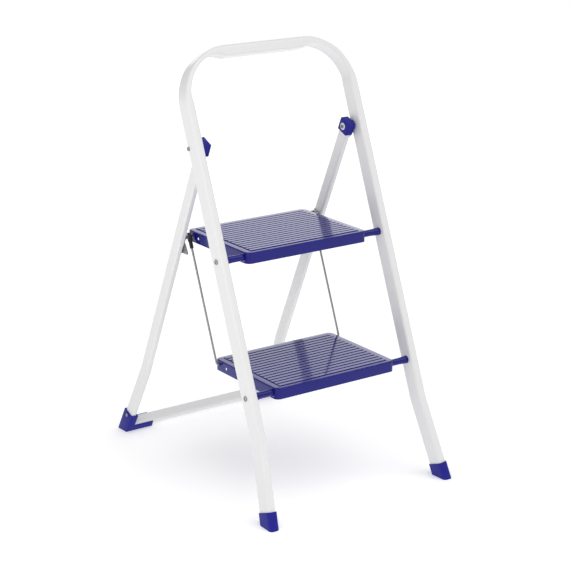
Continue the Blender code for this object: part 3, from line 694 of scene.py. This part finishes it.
def make_rivet(node, name, body, where, direction, shank, head, grip, hollow, both_ends=False):
    """A rivet along its direction from where: shank, then a rounded head with a hollow in it."""
    head_thickness, hollow_depth, shoulder = 0.0014, 0.005, 0.00001
    piece = add_disc(name, shank, grip, 40)

    def raise_head(up):
        end = grip if up > 0 else 0

        def is_end(face):
            return face.normal.z * up > 0.9 and abs(face.calc_center_median().z - end) < 0.0001

        pick(piece, "FACE", is_end)
        run((0, 0, shoulder * up))
        bpy.ops.transform.resize(value=(head / shank, head / shank, 1), center_override=(0, 0, end))
        run((0, 0, head_thickness * up))
        bpy.ops.mesh.inset(thickness=head - hollow)
        run((0, 0, -hollow_depth * up))

    with editing(piece):
        raise_head(1)
        if both_ends:
            raise_head(-1)
    outward(piece, 0.000001)
    round_edges(piece, 0.0005, 4, 50)
    settle(piece, Matrix.Translation(where) @ direction.to_track_quat("Z", "Y").to_matrix().to_4x4())
    smooth(piece, 40)
    return done(piece, body, "zinc", node)


def make_axle_rivets():
    shank, head, hollow, proud = 0.0030, 0.0050, 0.0026, 0.0016
    for level, axle in (("upper", UPPER_AXLE), ("lower", LOWER_AXLE)):
        for label, side in SIDES.items():
            node = f"{level}_axle_rivet_{label}"
            low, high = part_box(node)
            inside, outside = sorted((abs(low.x), abs(high.x)))
            start = Vector((side * inside, axle.y, axle.z))
            make_rivet(node, f"{level}_eyelet_{label}", "front", start, Vector((side, 0, 0)), shank, head,
                       outside - inside - proud, hollow)


# ---------------------------------------------------------------- hinges

def make_hinge_cap(label, tubes):
    """The moulded socket on top of a rear leg, open below."""
    cap_wall, cap_half, socket_wall, socket_depth = 0.0018, 0.0125, 0.0022, 0.020
    block_low, block_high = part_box(f"hinge_block_{label}")
    half_depth = tubes.rear_tube_depth / 2 + cap_wall
    low = Vector((block_low.x, -half_depth, -cap_half))
    high = Vector((block_high.x, half_depth, cap_half))
    block = add_box(f"hinge_cap_{label}", low, high)
    with editing(block):
        pick(block, "EDGE", lambda e: edge_along(e, 2) or (edge_middle(e).z > high.z - 0.0001))
        bpy.ops.mesh.bevel(offset=0.0018, segments=4, affect="EDGES")
        pick(block, "FACE", lambda f: f.normal.z < -0.9)
        bpy.ops.mesh.inset(thickness=socket_wall)
        run((0, 0, socket_depth))
    outward(block)
    settle(block, Matrix.Translation((0, HINGE.y, HINGE.z)) @ Matrix.Rotation(REAR_LEAN, 4, "X"))
    smooth(block, 30)
    done(block, "rear", "blue_plastic", f"hinge_block_{label}")


def make_hinge_boss(label):
    """The round spacer between socket and hoop, with a tail down the leg."""
    radius, bore = 0.0105, 0.0031
    tail_front, tail_back, tail_end, tail_inset = -0.0058, 0.0016, -0.023, 0.0002
    spacer_low, spacer_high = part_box(f"hinge_spacer_{label}")
    thick = spacer_high.x - spacer_low.x
    spacer = add_disc(f"hinge_boss_{label}", radius, thick, 48)
    settle(spacer, Matrix.Translation((spacer_low.x, 0, 0)) @ Matrix.Rotation(QUARTER_TURN, 4, "Y"))
    tail = add_box("tail", (spacer_low.x + tail_inset, tail_front, tail_end),
                   (spacer_high.x - tail_inset, tail_back, 0))
    cut(spacer, tail, "UNION")
    cut(spacer, cross_tool(bore, (spacer_low.x + spacer_high.x) / 2, 0, 0, 0.03))
    round_edges(spacer, 0.0004, 2, 50)
    settle(spacer, REAR_FRAME)
    smooth(spacer, 30)
    done(spacer, "rear", "blue_plastic", f"hinge_spacer_{label}")


def make_hinge_ring(label):
    """The pale washer on the socket's inner face."""
    radius, bore = 0.0068, 0.0029
    ring_low, ring_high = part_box(f"hinge_washer_{label}")
    ring = add_disc(f"hinge_ring_{label}", radius, ring_high.x - ring_low.x, 56)
    settle(ring, Matrix.Translation((ring_low.x, 0, 0)) @ Matrix.Rotation(QUARTER_TURN, 4, "Y"))
    cut(ring, cross_tool(bore, (ring_low.x + ring_high.x) / 2, 0, 0, 0.01))
    round_edges(ring, 0.0004, 3, 50)
    settle(ring, REAR_FRAME)
    smooth(ring, 30)
    done(ring, "rear", "white_paint", f"hinge_washer_{label}")


def make_hinge_rivet(label, side):
    shank, head, hollow, proud = 0.0025, 0.0040, 0.0022, 0.0016
    rivet_low, rivet_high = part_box(f"hinge_rivet_{label}")
    inside, outside = sorted((abs(rivet_low.x), abs(rivet_high.x)))
    start = Vector((side * (inside + proud), HINGE.y, HINGE.z))
    make_rivet(f"hinge_rivet_{label}", f"hinge_eyelet_{label}", "front", start, Vector((side, 0, 0)),
               shank, head, outside - inside - 2 * proud, hollow, both_ends=True)


# ---------------------------------------------------------------- feet

def cut_at_floor(piece):
    with editing(piece):
        bpy.ops.mesh.select_all(action="SELECT")
        bpy.ops.mesh.bisect(plane_co=(0, 0, 0), plane_no=(0, 0, 1), use_fill=True, clear_inner=True)


def make_front_foot(label, side, tubes, fittings):
    """A moulded cap on the end of a leg, cut level with the floor, with grip slots under it."""
    knee_to_floor, spare_length, tube_gap, socket_depth = 0.162, 0.03, 0.0003, 0.0165
    grips, half_grip, grip_depth, overrun = 4, 0.0008, 0.0009, 0.01
    first_grip, grip_step = 0.12, 0.11      # shares of the foot's length
    half = (tubes.hoop_width - tubes.tube_width) / 2
    floor_run = knee_to_floor / math.cos(tubes.hoop_flare)
    high = -floor_run + fittings.front_foot_height
    low = -floor_run - spare_length
    wall_width = fittings.foot_wall
    cap = add_section(f"front_cap_{label}", tubes.tube_width + 2 * wall_width,
                      tubes.tube_depth + 2 * wall_width, tubes.tube_edge + wall_width, (0, 0))
    settle(cap, Matrix.Translation((0, 0, low)))
    with editing(cap):
        bpy.ops.mesh.select_all(action="SELECT")
        run((0, 0, high - low))
        bpy.ops.mesh.inset(thickness=wall_width - tube_gap)
        run((0, 0, -socket_depth))
    outward(cap)
    knee = Matrix.Translation((side * half, 0, -tubes.hoop_knee))
    knee = knee @ Matrix.Rotation(-side * tubes.hoop_flare, 4, "Y")
    settle(cap, FRONT_FRAME @ knee)
    cut_at_floor(cap)
    foot_low, foot_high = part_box(f"front_foot_{label}")
    for k in range(1, grips + 1):
        y = foot_low.y + (foot_high.y - foot_low.y) * (first_grip + grip_step * k)
        slot = add_box("slot", (foot_low.x - overrun, y - half_grip, -overrun),
                       (foot_high.x + overrun, y + half_grip, grip_depth))
        cut(cap, slot)
    round_edges(cap, 0.0006, 3, 38)
    smooth(cap, 30)
    done(cap, "front", "blue_plastic", f"front_foot_{label}")


def make_rear_foot(label, side, tubes, fittings):
    """A moulded shoe round the corner of the rear frame, with a tongue along the floor bar."""
    below, tongue_rise, tongue_overlap, tongue_inset = 0.03, 0.0034, 0.001, 0.00005
    tube_gap = 0.0003
    half_depth = tubes.rear_tube_depth / 2 + fittings.foot_wall
    half_width = tubes.rear_tube_width / 2 + fittings.foot_wall
    bar_half, bar_z = rear_corners(tubes)[3]
    shoe = add_box(f"rear_shoe_{label}", (-half_width, -half_depth, -below),
                   (half_width, half_depth, fittings.rear_foot_height))
    corner = Matrix.Translation((side * bar_half, 0, bar_z))
    settle(shoe, corner @ Matrix.Rotation(-side * tubes.rear_flare, 4, "Y"))
    start, end = sorted((side * (bar_half + half_width - tongue_overlap),
                         side * (bar_half - fittings.rear_foot_reach)))
    tongue = add_box("tongue", (start, -half_depth + tongue_inset, bar_z - below),
                     (end, half_depth - tongue_inset, bar_z + tongue_rise))
    cut(shoe, tongue, "UNION")
    cut(shoe, sweep_rear("pocket", tubes, tube_gap))
    settle(shoe, REAR_FRAME)
    cut_at_floor(shoe)
    round_edges(shoe, 0.0009, 3, 38)
    smooth(shoe, 30)
    done(shoe, "rear", "blue_plastic", f"rear_foot_{label}")


def make_foot_rivet(label, side):
    node = f"foot_rivet_{label}"
    low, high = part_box(node)
    radius, thickness, dish_rim, dish_depth = 0.0034, 0.0013, 0.0012, 0.0003
    button = add_disc(f"shoe_rivet_{label}", radius, thickness, 40)
    with editing(button):
        pick(button, "FACE", lambda f: f.normal.z > 0.9)
        bpy.ops.mesh.inset(thickness=dish_rim)
        run((0, 0, -dish_depth))
    round_edges(button, 0.00045, 3, 50)
    where = middle(node)
    where.x = side * (max(abs(low.x), abs(high.x)) - thickness)
    turn = Vector((side, 0, 0)).to_track_quat("Z", "Y").to_matrix().to_4x4()
    settle(button, Matrix.Translation(where) @ turn)
    smooth(button, 40)
    done(button, "rear", "zinc", node)


# ---------------------------------------------------------------- link rods

ROD_FRAME = Matrix.Translation(UPPER_PIN) @ Matrix.Rotation(-FRONT_LEAN, 4, "X")


def make_rod(label, side, fittings):
    node = f"link_rod_{label}"
    low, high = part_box(node)
    foot, side_face = sorted((abs(low.x), abs(high.x)))
    outside = side_face - fittings.rod_radius
    top = -0.012
    drop = (UPPER_PIN - LOWER_PIN).length
    fresh()
    bpy.ops.mesh.primitive_circle_add(vertices=20, radius=fittings.rod_radius, fill_type="NGON")
    rod = named(bpy.context.object, f"rod_{label}")
    sweep(rod, [(side * outside, top), (side * outside, -drop), (side * foot, -drop)],
          [fittings.rod_bend], math.radians(10))
    settle(rod, ROD_FRAME)
    smooth(rod, 40)
    done(rod, "links", "zinc", node)


def make_rod_end(label):
    """The socket on a rod's head: an eye for the step's pin, and a neck down the rod."""
    node = f"rod_end_{label}"
    low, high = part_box(node)
    half_eye, eye_top, eye_bottom = 0.0046, 0.0050, -0.0095
    shoulder, neck_bottom = -0.0125, -0.0255
    eye_round, bore = 0.0042, 0.0033
    head = add_box(f"rod_socket_{label}", (low.x, -half_eye, eye_bottom), (high.x, half_eye, eye_top))
    centre = (low.x + high.x) / 2
    with editing(head):
        pick(head, "FACE", lambda f: f.normal.z < -0.9)
        run((0, 0, shoulder - eye_bottom))
        bpy.ops.transform.resize(value=(0.96, 0.60, 1), center_override=(centre, 0, shoulder))
        run((0, 0, neck_bottom - shoulder))
        bpy.ops.transform.resize(value=(0.96, 0.94, 1), center_override=(centre, 0, neck_bottom))
        pick(head, "EDGE", lambda e: edge_along(e, 0) and e.verts[0].co.z > eye_top - 0.0001)
        bpy.ops.mesh.bevel(offset=eye_round, segments=8, affect="EDGES")
    cut(head, cross_tool(bore, centre, 0, 0, 0.01, 32))
    round_edges(head, 0.0005, 3, 38)
    settle(head, ROD_FRAME)
    smooth(head, 30)
    done(head, "links", "black_plastic", node)


# ---------------------------------------------------------------- operators

def settings(context):
    return context.scene.step_stool


class STOOL_OT_finishes(bpy.types.Operator):
    """Make the paints, plastics and plated steel"""
    bl_idname = "stool.finishes"
    bl_label = "Finishes"

    def execute(self, context):
        chosen = settings(context).finishes
        white_powder_coat(chosen.white)
        blue_gloss_paint(chosen.blue_paint)
        blue_moulding(chosen.blue_plastic)
        black_moulding(chosen.black_plastic)
        zinc_plate(chosen.zinc)
        return {"FINISHED"}


class STOOL_OT_hoop(bpy.types.Operator):
    """Bend the hoop: both front legs and the hand rail"""
    bl_idname = "stool.hoop"
    bl_label = "Hoop"

    def execute(self, context):
        make_hoop(settings(context).tubes)
        return {"FINISHED"}


class STOOL_OT_rear_frame(bpy.types.Operator):
    """Bend the rear legs and their floor bar"""
    bl_idname = "stool.rear_frame"
    bl_label = "Rear Frame"

    def execute(self, context):
        make_rear_frame(settings(context).tubes)
        return {"FINISHED"}


class STOOL_OT_treads(bpy.types.Operator):
    """Press the two ribbed treads"""
    bl_idname = "stool.treads"
    bl_label = "Treads"

    def execute(self, context):
        treads = settings(context).treads
        make_tread("upper", UPPER_AXLE, treads)
        make_tread("lower", LOWER_AXLE, treads)
        return {"FINISHED"}


class STOOL_OT_axles(bpy.types.Operator):
    """Make the cross tubes that the treads turn on, and their rivets"""
    bl_idname = "stool.axles"
    bl_label = "Axles"

    def execute(self, context):
        make_axle("upper", UPPER_AXLE)
        make_axle("lower", LOWER_AXLE)
        make_axle_rivets()
        return {"FINISHED"}


class STOOL_OT_hinges(bpy.types.Operator):
    """Make the hinge caps, bosses, rings and rivets"""
    bl_idname = "stool.hinges"
    bl_label = "Hinges"

    def execute(self, context):
        for label, side in SIDES.items():
            make_hinge_cap(label, settings(context).tubes)
            make_hinge_boss(label)
            make_hinge_ring(label)
            make_hinge_rivet(label, side)
        return {"FINISHED"}


class STOOL_OT_feet(bpy.types.Operator):
    """Mould the front caps and the rear shoes"""
    bl_idname = "stool.feet"
    bl_label = "Feet"

    def execute(self, context):
        chosen = settings(context)
        for label, side in SIDES.items():
            make_front_foot(label, side, chosen.tubes, chosen.fittings)
            make_rear_foot(label, side, chosen.tubes, chosen.fittings)
            make_foot_rivet(label, side)
        return {"FINISHED"}


class STOOL_OT_rods(bpy.types.Operator):
    """Bend the link rods and mould their sockets"""
    bl_idname = "stool.rods"
    bl_label = "Link Rods"

    def execute(self, context):
        for label, side in SIDES.items():
            make_rod(label, side, settings(context).fittings)
            make_rod_end(label)
        return {"FINISHED"}


class STOOL_OT_small_steel(bpy.types.Operator):
    """Plate the brackets, pins and nuts that come from the frame"""
    bl_idname = "stool.small_steel"
    bl_label = "Brackets and Pins"

    def execute(self, context):
        kinds = ("bracket", "bracket_rivet_upper", "bracket_rivet_lower", "step_pin", "rod_nut")
        for kind in kinds:
            for label in SIDES:
                mesh = frame["nodes"][f"{kind}_{label}"].data
                mesh.materials.clear()
                mesh.materials.append(bpy.data.materials[FINISH_NAMES["zinc"]])
        return {"FINISHED"}


class STOOL_OT_studio(bpy.types.Operator):
    """Set the floor, the lights and the camera"""
    bl_idname = "stool.studio"
    bl_label = "Studio"

    def execute(self, context):
        chosen = settings(context)
        make_floor(chosen.finishes.floor)
        make_lights(chosen.studio)
        make_camera(chosen.studio)
        return {"FINISHED"}


# ---------------------------------------------------------------- studio

def make_floor(shade):
    fresh()
    bpy.ops.mesh.primitive_plane_add(size=30, location=(0, 0, -0.0002))
    floor = named(bpy.context.object, "studio_floor")
    bpy.ops.object.transform_apply(location=True, rotation=False, scale=True)
    finish = new_finish("studio_floor", Base_Color=(*shade, 1), Roughness=0.9,
                        Emission_Color=(1, 1, 1, 1), Emission_Strength=0.3)
    finish.node_tree.nodes["Principled BSDF"].inputs["Specular IOR Level"].default_value = 0.1
    floor.data.materials.append(finish)


def aim(light, name, location, target):
    lamp = bpy.data.objects.new(name, light)
    lamp.location = location
    lamp.rotation_euler = (Vector(target) - Vector(location)).to_track_quat("-Z", "Y").to_euler()
    lamp.visible_camera = False
    bpy.context.scene.collection.objects.link(lamp)


def soft_box(name, location, target, width, height, power):
    light = bpy.data.lights.new(name, "AREA")
    light.shape = "RECTANGLE"
    light.size = width
    light.size_y = height
    light.energy = power
    aim(light, name, location, target)


def make_lights(studio):
    world = bpy.data.worlds.new("studio")
    world.use_nodes = True
    world.node_tree.nodes["Background"].inputs["Color"].default_value = (1, 1, 1, 1)
    world.node_tree.nodes["Background"].inputs["Strength"].default_value = studio.sky
    bpy.context.scene.world = world
    bpy.context.scene.view_settings.view_transform = "Standard"
    even = bpy.data.lights.new("overhead", "SUN")
    even.energy = studio.overhead
    even.angle = math.radians(60)
    aim(even, "overhead", (0.8, -1.5, 3), (0, 0, 0))
    soft_box("key", (-1.1, -0.5, 0.8), (0, 0, 0.4), 1.0, 1.0, studio.key)
    soft_box("back", (2.6, 3.7, 1.7), (0, 0, 0.6), 4.5, 2.2, studio.back)


def make_camera(studio):
    back = Vector((math.sin(studio.azimuth) * math.cos(studio.elevation),
                   -math.cos(studio.azimuth) * math.cos(studio.elevation),
                   math.sin(studio.elevation)))
    lens = bpy.data.cameras.new("camera")
    lens.lens = studio.lens
    lens.sensor_width = 36
    camera = bpy.data.objects.new("camera", lens)
    camera.location = studio.eye
    camera.rotation_euler = (-back).to_track_quat("-Z", "Y").to_euler()
    bpy.context.scene.collection.objects.link(camera)
    bpy.context.scene.camera = camera


# ---------------------------------------------------------------- panel and registration

class StoolSettings(bpy.types.PropertyGroup):
    """Everything that can be set on the stool."""
    tubes: PointerProperty(type=TubeSizes)
    treads: PointerProperty(type=TreadSizes)
    fittings: PointerProperty(type=FittingSizes)
    finishes: PointerProperty(type=Finishes)
    studio: PointerProperty(type=Studio)


GROUPS = (TubeSizes, TreadSizes, FittingSizes, Finishes, Studio, StoolSettings)
STEPS = (STOOL_OT_finishes, STOOL_OT_hoop, STOOL_OT_rear_frame, STOOL_OT_treads, STOOL_OT_axles,
         STOOL_OT_hinges, STOOL_OT_feet, STOOL_OT_rods, STOOL_OT_small_steel, STOOL_OT_studio)


class STOOL_PT_panel(bpy.types.Panel):
    """Sizes, finishes and building steps of the stool"""
    bl_idname = "STOOL_PT_panel"
    bl_label = "Folding Step Stool"
    bl_space_type = "VIEW_3D"
    bl_region_type = "UI"
    bl_category = "Stool"

    def draw(self, context):
        chosen = settings(context)
        for title in ("tubes", "treads", "fittings", "finishes", "studio"):
            box = self.layout.box()
            box.label(text=title.title())
            group = getattr(chosen, title)
            for value in group.bl_rna.properties.keys():
                if value not in ("rna_type", "name"):
                    box.prop(group, value)
        for step in STEPS:
            self.layout.operator(step.bl_idname)


def register():
    for thing in (*GROUPS, *STEPS, STOOL_PT_panel):
        bpy.utils.register_class(thing)
    bpy.types.Scene.step_stool = PointerProperty(type=StoolSettings)


def unregister():
    del bpy.types.Scene.step_stool
    for thing in reversed((*GROUPS, *STEPS, STOOL_PT_panel)):
        bpy.utils.unregister_class(thing)


def main():
    register()
    for step in STEPS:
        group, name = step.bl_idname.split(".")
        getattr(getattr(bpy.ops, group), name)()
    fresh()


if __name__ == "__main__":
    main()
